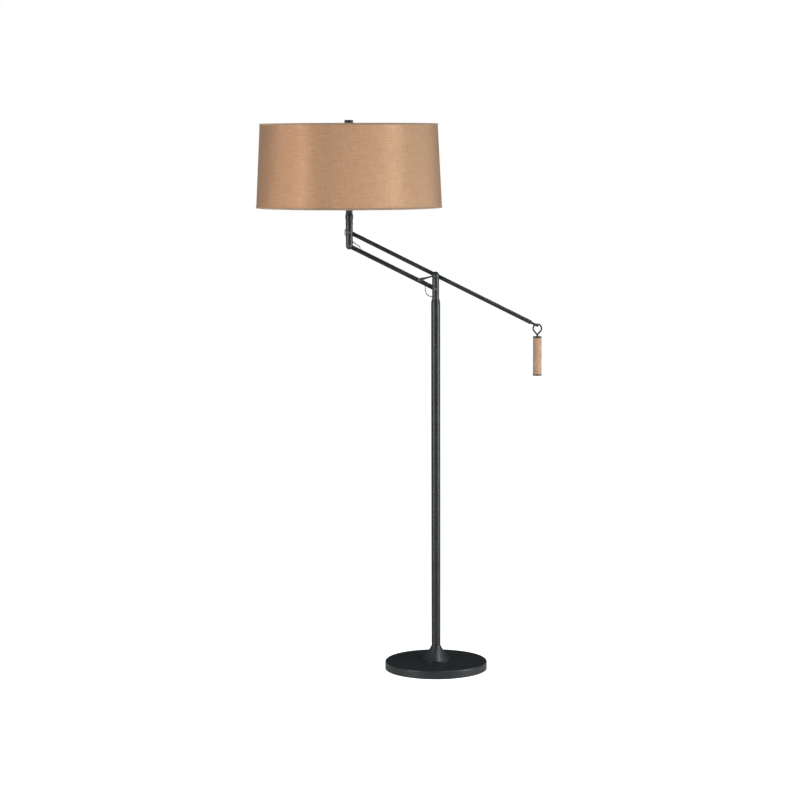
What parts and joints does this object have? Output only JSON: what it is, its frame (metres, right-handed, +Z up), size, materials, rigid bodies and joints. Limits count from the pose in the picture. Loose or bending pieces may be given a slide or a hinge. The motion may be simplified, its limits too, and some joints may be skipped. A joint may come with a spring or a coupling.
{
  "type": "pharmacy floor lamp",
  "caption": "Floor lamp with a weighted round base, a slim pole and a counterweighted parallelogram arm that carries a wide drum shade level at any height.",
  "frame": {"origin": "centre of the round base's underside, where the felt pad meets the floor", "axes": "+Z up along the pole, +X from the pole towards the counterweight, so the shade is towards -X, and -Y towards the viewer, the side of the clamp lever"},
  "size_m": [0.7839, 0.509, 1.521],
  "materials": {
    "blackened_steel": "satin blue-black",
    "gunmetal": "satin dark grey",
    "cast_iron": "rough sand cast",
    "zinc_plate": "zinc plated",
    "harp_plate": "nickel plated",
    "brass": "satin",
    "felt": "pressed felt",
    "rubber": "matte",
    "phenolic": "moulded",
    "card": "pressed fibre",
    "lead": "clear jacket over silver wire",
    "bulb_glass": "frosted",
    "linen": "coarse plain weave",
    "shade_liner": "translucent sheet",
    "shade_trim": "folded linen tape",
    "white_wire": "baked white enamel",
    "leather": "stitched wrap"
  },
  "bodies": {
    "root": {"felt_pad": "felt", "base_weight": "cast_iron", "base_cover": "blackened_steel", "base_flare": "blackened_steel", "base_lock_nut": "zinc_plate", "base_nipple": "zinc_plate", "cord_grommet": "rubber", "pole_foot_plug": "zinc_plate", "pole_lower_tube": "blackened_steel", "pole_coupler": "zinc_plate", "pole_upper_tube": "blackened_steel", "pole_fork": "blackened_steel", "pole_lead": "lead", "pole_jumper": "lead", "arm_pivot_bolt": "zinc_plate", "arm_pivot_nut": "gunmetal", "link_pole_pin": "gunmetal"},
    "clamp_lever": {"clamp_lever": "gunmetal"},
    "arm": {"arm_pivot_block": "blackened_steel", "arm_head_tube": "blackened_steel", "arm_weight_tube": "blackened_steel", "arm_head_tongue": "blackened_steel", "arm_end_yoke": "blackened_steel", "hanger_pin": "gunmetal"},
    "link": {"link_tube": "blackened_steel", "link_pole_tongue": "blackened_steel", "link_head_tongue": "blackened_steel", "link_lead": "lead"},
    "head": {"head_fork": "blackened_steel", "arm_head_pin": "gunmetal", "link_head_pin": "gunmetal", "head_collar": "blackened_steel", "head_stem": "blackened_steel", "head_nipple": "zinc_plate", "head_lead": "lead", "head_jumper": "lead", "harp_saddle": "harp_plate", "harp": "harp_plate", "harp_ferrule_left": "brass", "harp_ferrule_right": "brass", "socket_cap": "brass", "socket_shell": "brass", "socket_insulator": "card", "socket_block": "phenolic", "socket_screw_shell": "zinc_plate", "bulb_base": "zinc_plate", "bulb_glass": "bulb_glass", "shade_fabric": "linen", "shade_liner": "shade_liner", "shade_trim_bottom": "shade_trim", "shade_trim_top": "shade_trim", "shade_bottom_ring": "white_wire", "shade_spider": "white_wire"},
    "finial": {"finial": "blackened_steel"},
    "switch_knob": {"switch_knob": "phenolic"},
    "counterweight": {"weight_loop": "blackened_steel", "weight_top_cap": "blackened_steel", "weight_core": "cast_iron", "weight_wrap": "leather", "weight_bottom_cap": "blackened_steel"}
  },
  "joints": [
    {"name": "arm_tilt", "type": "hinge", "parent": "root", "child": "arm", "pos_m": [0, 0, 1.0981], "axis": [0, 1, 0], "range_deg": [-35, 20]},
    {"name": "link_tilt", "type": "hinge", "parent": "root", "child": "link", "pos_m": [0, 0, 1.0601], "axis": [0, 1, 0], "range_deg": [-35, 20], "deforming": ["pole_jumper"]},
    {"name": "head_level", "type": "hinge", "parent": "link", "child": "head", "pos_m": [-0.23606, 0, 1.17831], "axis": [0, 1, 0], "range_deg": [-20, 35], "deforming": ["head_jumper"]},
    {"name": "clamp_turn", "type": "hinge", "parent": "root", "child": "clamp_lever", "pos_m": [0, -0.01515, 1.0981], "axis": [0, 1, 0], "range_deg": [-90, 15]},
    {"name": "finial_turn", "type": "hinge", "parent": "head", "child": "finial", "pos_m": [-0.23606, 0, 1.514], "axis": [0, 0, 1], "continuous": true},
    {"name": "switch_turn", "type": "hinge", "parent": "head", "child": "switch_knob", "pos_m": [-0.23606, -0.02, 1.31561], "axis": [0, 1, 0], "continuous": true},
    {"name": "weight_level", "type": "hinge", "parent": "arm", "child": "counterweight", "pos_m": [0.27951, 0, 0.95813], "axis": [0, 1, 0], "range_deg": [-20, 35]}
  ],
  "couplings": [
    {"joint": "link_tilt", "follows": "arm_tilt", "ratio": 1},
    {"joint": "head_level", "follows": "arm_tilt", "ratio": -1},
    {"joint": "weight_level", "follows": "arm_tilt", "ratio": -1}
  ]
}
